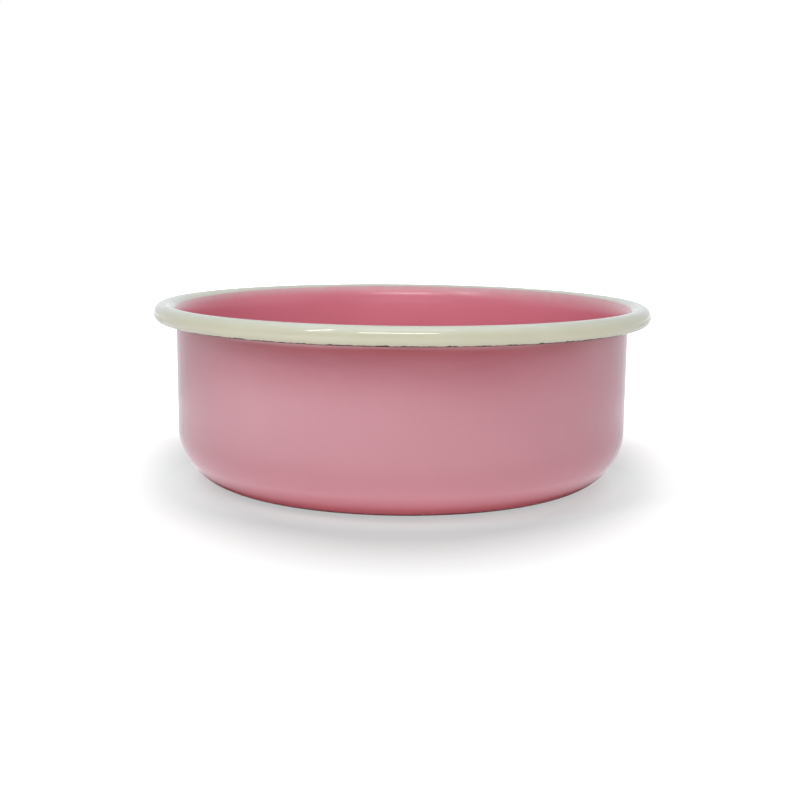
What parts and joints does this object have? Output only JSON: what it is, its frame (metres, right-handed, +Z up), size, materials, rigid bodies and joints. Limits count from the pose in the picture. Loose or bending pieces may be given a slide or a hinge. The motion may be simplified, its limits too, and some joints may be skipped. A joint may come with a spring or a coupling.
{
  "type": "pet bowl",
  "caption": "Round straight-sided pet food or water bowl of enamelled pressed steel, with a rolled contrasting rim and a flat ring to stand on.",
  "frame": {"origin": "centre of the bowl on the plane of its resting ring", "axes": "+Z up along the bowl's axis of revolution; X and Y are alike"},
  "size_m": [0.165, 0.165, 0.06],
  "materials": {
    "steel": "pickled low-carbon sheet, covered on every face",
    "ground_coat": "dark fired ground coat",
    "pink_enamel": "gloss vitreous enamel with a faint ripple",
    "cream_enamel": "gloss vitreous enamel, hand-edged"
  },
  "bodies": {
    "root": {"steel_shell": "steel", "inner_ground_coat": "ground_coat", "outer_ground_coat": "ground_coat", "inner_enamel": "pink_enamel", "outer_enamel": "pink_enamel", "rim_enamel": "cream_enamel"}
  },
  "joints": []
}
